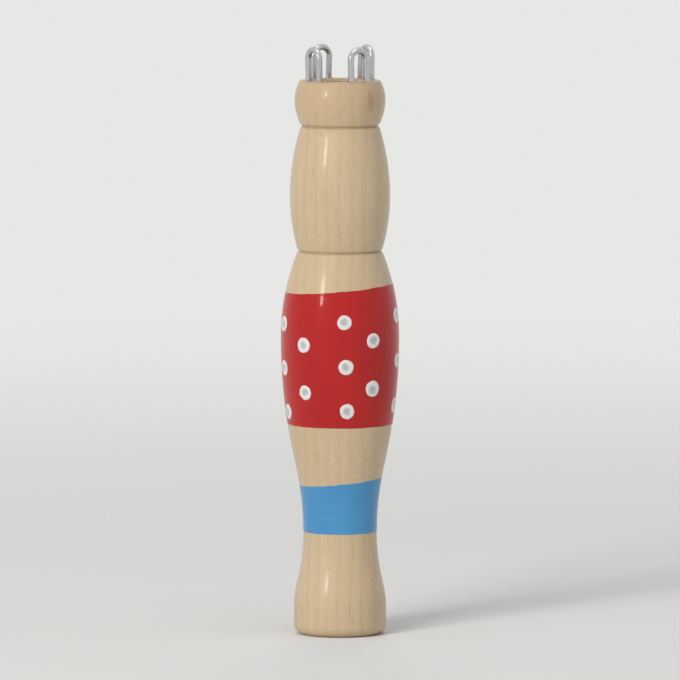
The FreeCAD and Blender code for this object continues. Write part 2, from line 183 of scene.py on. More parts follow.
class Tree:
    """A node tree that is being written."""

    def __init__(self, nodes):
        self.nodes = nodes.nodes
        self.links = nodes.links

    def add(self, kind, settings=(), sockets=(), output=0):
        """Add a node: its settings first, then the values or links of its sockets."""
        node = self.nodes.new(kind)
        for name, value in dict(settings).items():
            setattr(node, name, value)
        for name, value in dict(sockets).items():
            if isinstance(value, Wire):
                self.links.new(value.socket, node.inputs[name])
            else:
                node.inputs[name].default_value = value
        return Wire(self, node.outputs[output] if node.outputs else None)

    def maths(self, operation, *values):
        return self.add("ShaderNodeMath", {"operation": operation}, enumerate(values))

    def vector(self, operation, *values, output=0):
        settings = {"operation": operation}
        return self.add("ShaderNodeVectorMath", settings, enumerate(values), output)

    def stretched(self, place, *factors):
        """A place with each of its coordinates multiplied by its own factor."""
        return self.vector("MULTIPLY", place, factors)

    def parts(self, place):
        """The three coordinates of a place."""
        across = self.add("ShaderNodeSeparateXYZ", (), {0: place})
        return across, across.also("Y"), across.also("Z")

    def joined(self, x, y, z):
        return self.add("ShaderNodeCombineXYZ", (), {0: x, 1: y, 2: z})

    def noise(self, place, scale=1.0, detail=2.0, roughness=0.5):
        """Soft noise about 0.5 at a place."""
        sockets = {"Vector": place, "Scale": scale, "Detail": detail, "Roughness": roughness}
        return self.add("ShaderNodeTexNoise", (), sockets)

    def streaks(self, place, across, along, detail):
        """Noise with one scale across the doll and another along it."""
        return self.noise(self.stretched(place, across, across, along), detail=detail)

    def fade(self, value, low, high):
        """0 below one value and 1 above another, with a smooth rise between."""
        settings = {"interpolation_type": "SMOOTHSTEP"}
        return self.add("ShaderNodeMapRange", settings, {0: value, 1: low, 2: high})

    def clamp(self, value, low=0.0, high=1.0):
        return self.add("ShaderNodeClamp", (), {0: value, 1: low, 2: high})

    def smaller(self, first, second):
        return self.maths("MINIMUM", first, second)

    def larger(self, first, second):
        return self.maths("MAXIMUM", first, second)


class Finish(Tree):
    """A material with one main shader."""

    def __init__(self, name, **constants):
        self.material = bpy.data.materials.new(name)
        self.material.use_nodes = True
        super().__init__(self.material.node_tree)
        self.shader = self.nodes["Principled BSDF"]
        for socket, value in constants.items():
            self.shader.inputs[socket.replace("_", " ")].default_value = value

    def place(self):
        return self.add("ShaderNodeTexCoord", output="Object")

    def stored(self, name, output="Fac"):
        """A value that the piece's mesh carries."""
        return self.add("ShaderNodeAttribute", {"attribute_name": name}, output=output)

    def mix(self, share, first, second):
        """A blend of two colours."""
        settings = {"data_type": "RGBA"}
        return self.add("ShaderNodeMix", settings, {0: share, 6: first, 7: second}, 2)

    def coats(self, base, layers):
        """A colour with more laid over it, from the lowest up, each as a share and a colour."""
        for share, shade in layers:
            base = self.mix(share, base, shade)
        return base

    def relief(self, height, distance, under=None):
        """Bumps of a height in metres, over any relief that is under them."""
        sockets = {"Height": height, "Distance": distance, "Strength": 1.0}
        if under:
            sockets["Normal"] = under
        return self.add("ShaderNodeBump", (), sockets)

    def feed(self, **inputs):
        """Link what varies over the surface to the main shader."""
        for socket, value in inputs.items():
            self.links.new(value.socket, self.shader.inputs[socket.replace("_", " ")])
        return self.material


class Growth(Tree):
    """A Geometry Nodes tree with named inputs."""

    KINDS = {
        int: "NodeSocketInt",
        float: "NodeSocketFloat",
        bpy.types.Object: "NodeSocketObject",
        bpy.types.Material: "NodeSocketMaterial",
    }

    def __init__(self, name, **kinds):
        self.group = bpy.data.node_groups.new(name, "GeometryNodeTree")
        sockets = self.group.interface
        sockets.new_socket(name="Shape", in_out="OUTPUT", socket_type="NodeSocketGeometry")
        sockets.new_socket(name="Start", in_out="INPUT", socket_type="NodeSocketGeometry")
        self.identifiers = {}
        for label, kind in kinds.items():
            socket = sockets.new_socket(
                name=label, in_out="INPUT", socket_type=self.KINDS[kind]
            )
            self.identifiers[label] = socket.identifier
        super().__init__(self.group)
        self.inputs = self.add("NodeGroupInput")

    def given(self, name):
        return self.inputs.also(name)

    def moved(self, shape, place):
        """A shape whose points go to a place."""
        sockets = {"Geometry": shape, "Position": place}
        return self.add("GeometryNodeSetPosition", (), sockets)

    def kept(self, shape, name, value, kind="FLOAT"):
        """A shape whose points carry a value for its material."""
        settings = {"data_type": kind, "domain": "POINT"}
        sockets = {"Geometry": shape, "Name": name, "Value": value}
        return self.add("GeometryNodeStoreNamedAttribute", settings, sockets)

    def end(self, shape, material):
        """Close the tree: merge seams and poles, make one smooth mesh, give it its material."""
        sockets = {"Geometry": shape, "Distance": SEAM}
        merged = self.add("GeometryNodeMergeByDistance", (), sockets)
        smooth = self.add("GeometryNodeSetShadeSmooth", (), {"Geometry": merged})
        whole = self.add("GeometryNodeRealizeInstances", (), {"Geometry": smooth})
        finished = self.add(
            "GeometryNodeSetMaterial", (), {"Geometry": whole, "Material": material}
        )
        self.add("NodeGroupOutput", (), {"Shape": finished})


def grow(name, growth, start, **values):
    """Run a tree from a starting mesh and keep the result as a plain mesh."""
    piece = bpy.data.objects.new(name, start)
    bpy.context.scene.collection.objects.link(piece)
    modifier = piece.modifiers.new("growth", "NODES")
    modifier.node_group = growth.group
    for label, value in values.items():
        modifier[growth.identifiers[label]] = value
    evaluated = piece.evaluated_get(bpy.context.evaluated_depsgraph_get())
    mesh = bpy.data.meshes.new_from_object(evaluated)
    piece.modifiers.clear()
    piece.data = mesh
    mesh.name = name
    return piece


def around(tree, angle, radius, height):
    """The place at an angle round the bore's axis: 0 is the front, and it turns to the right."""
    sine = tree.maths("SINE", angle)
    cosine = tree.maths("COSINE", angle)
    return tree.joined(radius * sine, -(radius * cosine), height)


def around_front(angle, radius):
    """Where on the outside an angle right of the painted front lies, as two plain numbers."""
    turn = PAINT_TURN + angle
    return radius * math.sin(turn), -radius * math.cos(turn)


def grid_of(tree, columns, rows):
    """A grid with its column and its row numbers."""
    grid = tree.add("GeometryNodeMeshGrid", (), {"Vertices X": columns, "Vertices Y": rows})
    index = tree.add("GeometryNodeInputIndex")
    column = tree.maths("FLOOR", index / rows)
    return grid, column, index - column * rows


# The turned wood.


def turn_between(low, high, height):
    """Where a swell turns into a hollow: on the chord between two rings."""
    share = (height - low[1]) / (high[1] - low[1])
    return (low[0] + share * (high[0] - low[0]), height)


def turned_spans():
    """The arcs of the outline: their lower and upper ends, and the ring they are upright at."""
    roll = turn_between(FOOT, WAIST, FOOT_ROLL)
    sweep = turn_between(WAIST, BELLY, WAIST_SWEEP)
    return (
        (FOOT, roll, FOOT),
        (roll, WAIST, WAIST),
        (WAIST, sweep, WAIST),
        (sweep, BELLY, BELLY),
        (BELLY, NECK, BELLY),
        (NECK, BULB, BULB),
        (BULB, COLLAR, BULB),
        (COLLAR, HEAD, HEAD),
        (HEAD, TOP, HEAD),
    )


def arc_centre(low, high, level):
    """Radius of the centre, at one height, of the arc through two points."""
    middle_radius = (low[0] + high[0]) / 2
    middle_height = (low[1] + high[1]) / 2
    slope = (high[1] - low[1]) / (high[0] - low[0])
    return middle_radius - (level - middle_height) * slope


def arc_radius(low, high, level, height):
    """Radius of that arc at a height."""
    centre = arc_centre(low, high, level)
    reach = math.dist(low, (centre, level))
    side = math.copysign(1, low[0] - centre)
    return centre + side * math.sqrt(reach**2 - (height - level) ** 2)


def soft_minimum(first, second, soften):
    """The smaller of two values, with the corner between them rounded."""
    near = max(soften - abs(first - second), 0) / soften
    return min(first, second) - near**2 * soften / 4


def outside_radius(height):
    """Radius of the turned outside at a height, V cuts included, in millimetres."""
    if height <= FOOT[1]:
        return FOOT[0]
    low, high, upright = next(s for s in turned_spans() if height <= s[1][1])
    radius = arc_radius(low, high, upright[1], height)
    for ring in (NECK, COLLAR):
        away = math.hypot(height - ring[1], V_TIP_ROUND) - V_TIP_ROUND
        radius = soft_minimum(radius, ring[0] - V_DEPTH + away / V_SLOPE, SANDED_EDGE)
    return radius


def outline_points():
    """The closed outline of the wood: base, outside, flat top, bore and base again."""
    points = [(MOUTH, 0)]

    def run_to(end, step):
        start = points[-1]
        count = max(1, round(math.dist(start, end) / step))
        for i in range(1, count + 1):
            share = i / count
            points.append(tuple(a + (b - a) * share for a, b in zip(start, end)))

    def bend(centre, radius, first, last, count):
        for i in range(1, count + 1):
            angle = math.radians(first + (last - first) * i / count)
            outwards, upwards = radius * math.cos(angle), radius * math.sin(angle)
            points.append((centre[0] + outwards, centre[1] + upwards))

    run_to((FOOT[0] - FOOT_EDGE, 0), BASE_STEP)
    bend((FOOT[0] - FOOT_EDGE, FOOT_EDGE), FOOT_EDGE, -90, 0, FOOT_EDGE_FACETS)

    crown = arc_centre(HEAD, TOP, HEAD[1])
    crown_reach = math.dist(HEAD, (crown, HEAD[1]))
    rim_level = TOP[1] - RIM_ROUND
    rim = crown + math.sqrt((crown_reach - RIM_ROUND) ** 2 - (rim_level - HEAD[1]) ** 2)
    rim_start = math.degrees(math.atan2(rim_level - HEAD[1], rim - crown))
    last_height = rim_level + RIM_ROUND * math.sin(math.radians(rim_start))

    height = FOOT_EDGE
    while height < last_height - COARSE_STEP:
        nearest_cut = min(abs(height - ring[1]) for ring in (NECK, COLLAR))
        height += FINE_STEP if nearest_cut < CUT_REACH else COARSE_STEP
        points.append((outside_radius(height), height))
    bend((rim, rim_level), RIM_ROUND, rim_start, 90, RIM_FACETS)
    run_to((MOUTH, TOP[1]), FLAT_TOP_STEP)
    run_to((BORE, TOP[1] - MOUTH + BORE), TOP_MOUTH_STEP)
    run_to((BORE, MOUTH - BORE), BORE_STEP)
    run_to((MOUTH, 0), LOWER_MOUTH_STEP)
    return [(radius * MM, 0, level * MM) for radius, level in points]


def lathe():
    """A tree that turns an outline about Z and gives it a lathe's small faults."""
    tree = Growth(
        "lathe",
        Segments=int,
        Chatter=float,
        Out_of_round=float,
        Leg_across=float,
        Leg_out=float,
        Wire_radius=float,
        Burr=float,
        Material=bpy.types.Material,
    )
    outline = tree.given("Start")
    rows = tree.add("GeometryNodeAttributeDomainSize", (), {0: outline})
    segments = tree.given("Segments")
    grid, column, row = grid_of(tree, segments + 1, rows)
    sockets = {"Geometry": outline, "Value": tree.add("GeometryNodeInputPosition"), "Index": row}
    sample = tree.add("GeometryNodeSampleIndex", {"data_type": "FLOAT_VECTOR"}, sockets)
    radius, _, height = tree.parts(sample)
    angle = column / segments * FULL_TURN
    true_place = around(tree, angle, radius, height)

    # The faults of the gouge fade out towards the mouths and the bore.
    outside = tree.fade(radius, (MOUTH + 0.1) * MM, (MOUTH + 1.3) * MM)
    gouge = tree.streaks(true_place, across=45, along=700, detail=3.0)
    lump = tree.streaks(true_place, across=50, along=22, detail=1.0)
    faults = (gouge - 0.5) * tree.given("Chatter") + (lump - 0.5) * tree.given("Out_of_round")
    radius = radius + faults * outside

    # The flat top stands up in a lip round each staple's leg and is pressed in beside the wire.
    x, y, _ = tree.parts(around(tree, angle, radius, height))
    leg_across, leg_out = tree.given("Leg_across"), tree.given("Leg_out")
    nearest = tree.smaller(
        tree.vector("LENGTH", tree.joined(abs(x) - leg_across, abs(y) - leg_out, 0.0), output=1),
        tree.vector("LENGTH", tree.joined(abs(x) - leg_out, abs(y) - leg_across, 0.0), output=1),
    )
    beyond = nearest / tree.given("Wire_radius")
    lip = tree.fade(beyond, 1.0, 1.25) * (1 - tree.fade(beyond, 1.25, 1.8))
    pit = 1 - tree.fade(beyond, 0.9, 1.2)
    grain = tree.noise(tree.joined(x, y, 0.0), 900.0)
    burr = (lip * (0.5 + grain) - pit * 1.4) * tree.given("Burr")
    flat_top = tree.fade(height, (TOP[1] - 0.03) * MM, (TOP[1] - 0.01) * MM)
    place = around(tree, angle, radius, height + burr * flat_top)

    turned = tree.moved(grid, place)
    tree.end(turned, tree.given("Material"))
    return tree


def points_mesh(name, points):
    """A mesh of loose points, in order."""
    mesh = bpy.data.meshes.new(name)
    mesh.from_pydata(points, [], [])
    return mesh


# Paint: bands that follow the wood, and dabs that follow the red band.


def lifted(tree, place, direction, height):
    """A place moved along a direction by a height."""
    sockets = {0: direction, "Scale": height}
    step = tree.add("ShaderNodeVectorMath", {"operation": "SCALE"}, sockets)
    return tree.vector("ADD", place, step)


def under_ray(tree, target, place):
    """Where a level ray from outside, towards the bore's axis, meets a target."""
    outward = tree.vector("NORMALIZE", tree.stretched(place, 1, 1, 0))
    _, _, height = tree.parts(place)
    settings = {"transform_space": "RELATIVE"}
    surface = tree.add("GeometryNodeObjectInfo", settings, {0: target}, "Geometry")
    sockets = {
        "Target Geometry": surface,
        "Source Position": lifted(tree, tree.joined(0.0, 0.0, height), outward, RAY_START),
        "Ray Direction": tree.stretched(outward, -1, -1, 0),
        "Ray Length": RAY_START,
    }
    hit = tree.add("GeometryNodeRaycast", (), sockets, "Hit Position")
    return hit, hit.also("Hit Normal")


def outer_face(tree, loop):
    """1 on a coat's outer face and 0 on its back, where its rows turn round at 1."""
    return 1 - tree.fade(loop, 0.999, 1.001)


def rounded_edge(tree, share):
    """How far a rounded edge has risen, from 0 at its foot, where the share is 1."""
    return tree.maths("SQRT", 1 - share * share)


def brushed_band():
    """A tree that lays a coat of paint on the wood between two hand-held edges."""
    tree = Growth(
        "brushed_band",
        Wood=bpy.types.Object,
        Lower=float,
        Upper=float,
        Tilt=float,
        Turn=float,
        Thickness=float,
        Waver=float,
        Edge_width=float,
        Around=int,
        Rows=int,
        Material=bpy.types.Material,
    )
    around_count, rows = tree.given("Around"), tree.given("Rows")
    grid, column, row = grid_of(tree, around_count + 1, rows + 1)
    angle = tree.maths("MODULO", column, around_count) / around_count * FULL_TURN
    # The rows run up the outer face of the coat and down its back.
    loop = row / rows * 2
    outer = outer_face(tree, loop)
    share = 1 - abs(loop - 1)
    crowded_edges = 0.85
    share = share - tree.maths("SINE", share * FULL_TURN) * (crowded_edges / FULL_TURN)

    circle = around(tree, angle, 1.0, 0.0)

    def unsteady(shift, scale, detail):
        """Noise round the doll; each edge has its own shift."""
        return tree.noise(tree.vector("ADD", circle, shift), scale, detail=detail) - 0.5

    top_waver = unsteady((0, 0, 0), 2.2, 1.0) * 1.6 + unsteady((5, 5, 5), 7.0, 2.0)
    bottom_waver = unsteady((9, 1, 4), 3.5, 2.0)
    from_front = tree.maths("SINE", angle - tree.given("Turn"))
    slope = tree.maths("TANGENT", tree.given("Tilt"))
    lower = tree.given("Lower") + bottom_waver * tree.given("Waver")
    upper = tree.given("Upper") + from_front * slope * (BELLY[0] * MM)
    upper = upper + top_waver * tree.given("Waver")
    height = lower + (upper - lower) * share

    hit, normal = under_ray(tree, tree.given("Wood"), around(tree, angle, BELLY[0] * MM, height))
    to_edge = tree.smaller(height - lower, upper - height)
    edge_widths = to_edge / tree.given("Edge_width")
    rounded = rounded_edge(tree, 1 - tree.clamp(edge_widths))
    bead = tree.fade(edge_widths, 0.2, 1.2) * (1 - tree.fade(edge_widths, 1.2, 3.5)) * 0.25
    skin = tree.given("Thickness") * rounded * (1 + bead) - (1 - rounded) * ROOT
    lift = skin * outer - (1 - outer) * ROOT
    shape = tree.moved(grid, lifted(tree, hit, normal, lift))
    shape = tree.kept(shape, "from_edge", to_edge)
    tree.end(shape, tree.given("Material"))
    return tree


def dab_places():
    """Where the dabs go: turn round the bore's axis, height, and a key that makes each differ."""
    places = []
    for column, (count, turn, lean, step) in enumerate(DAB_COLUMNS):
        for dab in range(count):
            above = dab - (count - 1) / 2
            angle = math.radians(turn - lean * above)
            level = DAB_ROWS + above * step * MM
            level += math.sin(angle) * math.tan(DAB_TILT) * BELLY[0] * MM
            places.append((PAINT_TURN + angle, level, column * 10.0 + dab))
    return places


def pressed_dabs():
    """A tree that presses a dab of paint on the coat at each place."""
    tree = Growth(
        "pressed_dabs",
        Coat=bpy.types.Object,
        Radius=float,
        Thickness=float,
        Uneven=float,
        Dimple=float,
        Spokes=int,
        Rings=int,
        Material=bpy.types.Material,
    )
    given_place = tree.add("GeometryNodeInputPosition")
    spots = tree.kept(tree.given("Start"), "spot", given_place, "FLOAT_VECTOR")
    spots = tree.moved(spots, tree.joined(0.0, 0.0, 0.0))

    spokes, rings = tree.given("Spokes"), tree.given("Rings")
    grid, spoke, ring = grid_of(tree, spokes + 1, rings + 1)
    loop = ring / rings * 2
    spread = tree.maths("SINE", (1 - abs(loop - 1)) * (math.pi / 2))
    top = outer_face(tree, loop)
    angle = spoke / spokes * -FULL_TURN
    cosine, sine = tree.maths("COSINE", angle), tree.maths("SINE", angle)
    disc = tree.moved(grid, tree.joined(spread * cosine, spread * sine, top))
    placed = tree.add("GeometryNodeInstanceOnPoints", (), {"Points": spots, "Instance": disc})
    real = tree.add("GeometryNodeRealizeInstances", (), {"Geometry": placed})

    across, up, top = tree.parts(tree.add("GeometryNodeInputPosition"))
    spread = tree.maths("SQRT", across * across + up * up)
    settings = {"data_type": "FLOAT_VECTOR"}
    spot = tree.add("GeometryNodeInputNamedAttribute", settings, {"Name": "spot"})
    turn, level, key = tree.parts(spot)
    outline = tree.noise(tree.joined(across * 0.9 + key, up * 0.9, key), 1.1, detail=1.0) - 0.5
    bulk = tree.noise(tree.joined(key * 3.7, 0.5, 0.5), 1.0, detail=0.0) - 0.5
    size = tree.given("Radius") * (1 + (outline + bulk) * tree.given("Uneven"))
    turn = turn + across * size / (BELLY[0] * MM)
    aim = around(tree, turn, BELLY[0] * MM, level + up * size)
    hit, normal = under_ray(tree, tree.given("Coat"), aim)
    edge_starts = 0.7
    rounded = rounded_edge(tree, tree.clamp((spread - edge_starts) / (1 - edge_starts)))
    from_middle = tree.joined(across - outline * 0.5, up + bulk * 0.4, 0.0)
    off_middle = tree.vector("LENGTH", from_middle, output=1)
    dimple = 1 - (1 - tree.fade(off_middle, 0.1, 0.78)) * tree.given("Dimple")
    lift = tree.given("Thickness") * rounded * dimple * top - (1 - top) * ROOT
    real = tree.kept(real, "spread", spread)
    real = tree.kept(real, "dimple", off_middle)
    tree.end(tree.moved(real, lifted(tree, hit, normal, lift)), tree.given("Material"))
    return tree


# The staples.


def bent_wire():
    """A tree that bends a wire to a staple and leans it a little, as a hammer leaves it."""
    tree = Growth(
        "bent_wire",
        Width=float,
        Rise=float,
        Sunk=float,
        Wire_radius=float,
        Tip_chamfer=float,
        Out=float,
        Floor=float,
        Turn=float,
        Lean=float,
        Splay=float,
        Sway=float,
        Points=int,
        Sides=int,
        Seed=int,
        Material=bpy.types.Material,
    )
    half = tree.given("Width") / 2
    wire = tree.given("Wire_radius")
    leg = tree.given("Rise") - wire - half
    length = leg * 2 + half * math.pi
    line = tree.add("GeometryNodeCurvePrimitiveLine")
    path = tree.add(
        "GeometryNodeResampleCurve", (), {"Curve": line, "Count": tree.given("Points")}
    )
    number = tree.add("GeometryNodeInputIndex")
    along = number / (tree.given("Points") - 1) * length
    bend = tree.clamp((along - leg) / half, 0.0, math.pi)
    nearest_end = tree.smaller(along, length - along)
    side = -tree.maths("COSINE", bend)
    x = side * half
    z = tree.smaller(nearest_end, leg) + tree.maths("SINE", bend) * half

    proud = tree.larger(z - tree.given("Sunk"), 0.0)
    seed = tree.given("Seed")
    sway = tree.noise(tree.joined(seed * 7.3, along * 240, 3.0), 1.0, detail=1.0) - 0.5
    sway = sway * tree.given("Sway") * tree.fade(proud, 0.0, 3 * MM)
    x = x + side * proud * tree.given("Splay") + sway
    y = proud * tree.given("Lean")
    z = z + tree.given("Floor")
    turn = tree.given("Turn")
    sine, cosine = tree.maths("SINE", turn), tree.maths("COSINE", turn)
    out = -(tree.given("Out")) + y
    place = tree.joined(x * cosine - out * sine, x * sine + out * cosine, z)
    shape = tree.moved(path, place)
    tip = tree.clamp(nearest_end / tree.given("Tip_chamfer"))
    shape = tree.add(
        "GeometryNodeSetCurveRadius", (), {"Curve": shape, "Radius": 0.55 + tip * 0.45}
    )
    profile = tree.add(
        "GeometryNodeCurvePrimitiveCircle", (), {"Resolution": tree.given("Sides"), "Radius": wire}
    )
    shape = tree.kept(shape, "wire_run", along)
    ring = tree.kept(profile, "wire_side", tree.add("GeometryNodeInputPosition"), "FLOAT_VECTOR")
    tube = tree.add(
        "GeometryNodeCurveToMesh", (), {"Curve": shape, "Profile Curve": ring, "Fill Caps": True}
    )
    tree.end(tube, tree.given("Material"))
    return tree


# Finishes. A shade is named for the thing that has it.

PALE_WOOD = colour(204, 182, 149)
WARM_WOOD = colour(200, 176, 141)
LATE_WOOD = colour(184, 157, 119)
FIBRE = colour(178, 150, 112)
RAY_FLECK = colour(174, 141, 103)
BROWN_FLECK = colour(156, 120, 82)
PORE = colour(136, 102, 68)
# Painted shade that darkens the head.
HEAD_SHADE = colour(183, 152, 117)
HEAD_STREAK_BROWN = colour(160, 114, 72)
# Painted shade for the V cuts.
GROOVE_SHADE = colour(104, 76, 48)
END_GRAIN = colour(172, 138, 98)
END_RAY = colour(202, 172, 132)
END_PORE = colour(132, 98, 64)
BORE_WOOD = colour(158, 124, 84)

WHITE_PAINT = colour(226, 221, 220)
# A painted reflection that greys the dimple of each dab.
DIMPLE_REFLECTION_GREY = colour(172, 178, 184)
RED_THROUGH_WHITE = colour(206, 150, 148)

BRIGHT_STEEL = colour(204, 205, 208)
GREY_STEEL = colour(188, 189, 192)
DULL_STEEL = colour(150, 147, 142)


def lacquered_wood():
    """Pale hardwood, turned along the grain, under clear lacquer."""
    finish = Finish("lacquered_wood", Coat_Roughness=0.16, Coat_IOR=1.5, Specular_IOR_Level=0.4)
    place = finish.place()
    x, y, z = finish.parts(place)
    radius = finish.maths("SQRT", x * x + y * y)
    outside = finish.fade(radius, (BORE + 0.1) * MM, (BORE + 0.5) * MM)

    # End grain shows on the flat top and on the base.
    end_grain = finish.fade(z, (TOP[1] - 0.45) * MM, TOP[1] * MM)
    end_grain = end_grain + 1 - finish.fade(z, 0.0, 0.9 * MM)

    # The tree's rings and rays go round its pith, which lay outside this piece.
    sway = finish.streaks(place, across=60, along=14, detail=2.0) - 0.5
    pith_x, pith_y = x - PITH[0] * MM + sway * 3 * MM, y - PITH[1] * MM
    from_pith = finish.vector("LENGTH", finish.joined(pith_x, pith_y, 0.0), output=1)
    ring = finish.maths("FRACT", from_pith / (RING_WIDTH * MM))
    late = finish.fade(ring, 0.35, 0.93) * (1 - finish.fade(ring, 0.94, 1.0))
    spoke = finish.maths("ARCTAN2", pith_y, pith_x)
    spoke = finish.noise(finish.joined(spoke * 260, from_pith * 160, 0.0), detail=1.0)

    dot = finish.streaks(place, across=7000, along=500, detail=1.0)
    fibre = finish.streaks(place, across=2400, along=70, detail=3.0)
    cloud = finish.streaks(place, across=90, along=30, detail=2.0)
    fleck = finish.fade(finish.streaks(place, across=2600, along=300, detail=1.0), 0.64, 0.78)
    pore = finish.fade(finish.streaks(place, across=8000, along=260, detail=0.0), 0.66, 0.8)
    ray = finish.fade(finish.streaks(place, across=1300, along=500, detail=0.0), 0.68, 0.8)

    # The head is painted darker and browner as shade, and has one brown streak on its right.
    head_shade = finish.fade(z, HEAD_SHADE_HEIGHTS[0] * MM, HEAD_SHADE_HEIGHTS[1] * MM)
    streak_x, streak_y = around_front(STREAK_TURN, HEAD[0] * MM)
    per_width, per_length = (1 / (reach * MM) for reach in STREAK_REACH)
    from_streak = finish.joined(x - streak_x, y - streak_y, z - STREAK_RISE * MM)
    from_streak = finish.stretched(from_streak, per_width, per_width, per_length)
    streak = finish.vector("LENGTH", from_streak, output=1)
    streak = 1 - finish.fade(streak + (fibre - 0.5) * 0.8, 0.2, 1.2)

    base = finish.coats(
        finish.mix(finish.fade(cloud, 0.3, 0.7), PALE_WOOD, WARM_WOOD),
        (
            (late * (0.26 + end_grain * 0.4), LATE_WOOD),
            (finish.fade(fibre, 0.35, 0.75) * 0.2, FIBRE),
            (ray * 0.16, RAY_FLECK),
            (fleck * 0.16, BROWN_FLECK),
            (pore * 0.3, PORE),
            (head_shade * 0.4, HEAD_SHADE),
            (streak * 0.42, HEAD_STREAK_BROWN),
        ),
    )
    # Painted shade darkens the wood in and beside each V cut.
    for ring_place in (NECK, COLLAR):
        groove_shade = 1 - finish.fade(abs(z - ring_place[1] * MM), 0.08 * MM, 0.42 * MM)
        base = finish.mix(groove_shade * outside * 0.2, base, GROOVE_SHADE)
    base = finish.coats(
        base,
        (
            (end_grain * 0.4, END_GRAIN),
            (end_grain * finish.fade(spoke, 0.55, 0.72) * 0.35, END_RAY),
            (end_grain * finish.fade(dot, 0.52, 0.7) * 0.28, END_PORE),
            (1 - outside, BORE_WOOD),
        ),
    )

    # Raised fibres and open pores, and over them the fine rings that the gouge left.
    relief = finish.relief(fibre * 0.6 - pore * 0.5, 0.008 * MM)
    marks = finish.noise(finish.joined(x * 30 + radius * 2600, y * 30, z * 3600), detail=2.0)
    relief = finish.relief(marks * (1 + end_grain + (1 - outside) * 3), 0.005 * MM, relief)
    roughness = 0.46 + (fibre - 0.5) * 0.12 + (1 - outside) * 0.3
    return finish.feed(
        Base_Color=base, Roughness=roughness, Coat_Weight=outside * 0.45, Normal=relief
    )


def enamel(name, body, deep, thin):
    """Brushed enamel: faint strokes round the doll, a fat edge and a few dust nibs."""
    finish = Finish(
        name, Coat_Weight=0.5, Coat_Roughness=0.08, Coat_IOR=1.45, Specular_IOR_Level=0.15
    )
    place = finish.place()
    stroke = finish.streaks(place, across=70, along=1500, detail=3.0)
    cloud = finish.streaks(place, across=110, along=60, detail=2.0)
    edge = 1 - finish.fade(finish.stored("from_edge"), 0.0, BAND_EDGE)
    base = finish.coats(
        body,
        (
            (finish.fade(cloud, 0.3, 0.7) * 0.4, deep),
            (finish.fade(stroke, 0.45, 0.8) * 0.16, thin),
            (edge * 0.45, deep),
        ),
    )
    nib = finish.fade(finish.noise(place, 900.0, detail=1.0), 0.76, 0.82)
    orange_peel = finish.noise(place, 420.0, detail=1.0)
    relief = finish.relief(stroke, 0.012 * MM)
    relief = finish.relief(nib, 0.04 * MM, relief)
    relief = finish.relief(orange_peel, 0.02 * MM, relief)
    roughness = 0.36 + (cloud - 0.5) * 0.12
    return finish.feed(Base_Color=base, Roughness=roughness, Normal=relief)


def white_enamel():
    """White dabs, thinner in the dimple that the dabbing stick left, and greyed there by a painted
    reflection.
    """
    finish = Finish("white_enamel", Coat_Weight=0.6, Coat_Roughness=0.08, Coat_IOR=1.5)
    mottle = finish.noise(finish.place(), 1500.0, detail=2.0)
    # A painted reflection greys the middle of each dab's dimple.
    dimple = 1 - finish.fade(finish.stored("dimple") + (mottle - 0.5) * 0.25, 0.3, 0.68)
    thin = finish.fade(finish.stored("spread"), 0.9, 1.0)
    base = finish.coats(
        WHITE_PAINT, ((dimple * 0.9, DIMPLE_REFLECTION_GREY), (thin * 0.35, RED_THROUGH_WHITE))
    )
    relief = finish.relief(mottle, 0.02 * MM)
    return finish.feed(Base_Color=base, Roughness=0.34 + mottle * 0.12, Normal=relief)


def drawn_steel():
    """Bright drawn wire: fine lines along it, and duller where the hammer met it."""
    finish = Finish("drawn_steel", Metallic=1.0)
    run = finish.stored("wire_run")
    side_x, side_y, _ = finish.parts(finish.stored("wire_side", "Vector"))
    lines = finish.noise(finish.joined(side_x * 14000, side_y * 14000, run * 260), detail=2.0)
    dull = finish.noise(finish.place(), 700.0, detail=2.0)
    base = finish.mix(finish.fade(lines, 0.3, 0.7), BRIGHT_STEEL, GREY_STEEL)
    base = finish.mix(finish.fade(dull, 0.5, 0.8) * 0.25, base, DULL_STEEL)
    relief = finish.relief(lines, 0.0025 * MM)
    roughness = 0.22 + finish.fade(dull, 0.4, 0.8) * 0.2
    return finish.feed(Base_Color=base, Roughness=roughness, Normal=relief)


WOOD = lacquered_wood()
RED = enamel("red_enamel", colour(180, 24, 24), colour(158, 16, 18), colour(192, 34, 32))
BLUE = enamel("blue_enamel", colour(74, 146, 197), colour(62, 128, 182), colour(92, 160, 205))
WHITE = white_enamel()
STEEL = drawn_steel()

# The pieces.

wood = grow(
    "turned_wood",
    lathe(),
    points_mesh("outline", outline_points()),
    Segments=248,
    Chatter=0.03 * MM,
    Out_of_round=0.14 * MM,
    Leg_across=STAPLE_WIDTH / 2 * MM,
    Leg_out=STAPLE_OFFSET * MM,
    Wire_radius=WIRE * MM,
    Burr=0.1 * MM,
    Material=WOOD,
)
band = brushed_band()
nothing = points_mesh("nothing", [])
red = grow(
    "red_band",
    band,
    nothing,
    Wood=wood,
    Lower=RED_BAND[0],
    Upper=RED_BAND[1],
    Tilt=RED_TILT,
    Turn=PAINT_TURN,
    Thickness=PAINT,
    Waver=0.26 * MM,
    Edge_width=BAND_EDGE,
    Around=248,
    Rows=176,
    Material=RED,
)
blue = grow(
    "blue_band",
    band,
    nothing,
    Wood=wood,
    Lower=BLUE_BAND[0],
    Upper=BLUE_BAND[1],
    Tilt=BLUE_TILT,
    Turn=PAINT_TURN,
    Thickness=PAINT,
    Waver=0.2 * MM,
    Edge_width=BAND_EDGE,
    Around=248,
    Rows=120,
    Material=BLUE,
)
dabs = grow(
    "white_dabs",
    pressed_dabs(),
    points_mesh("dab_places", dab_places()),
    Coat=red,
    Radius=DAB_RADIUS,
    Thickness=DAB_THICKNESS,
    Uneven=0.2,
    Dimple=0.85,
    Spokes=40,
    Rings=28,
    Material=WHITE,
)
staple_tree = bent_wire()
staples = {}
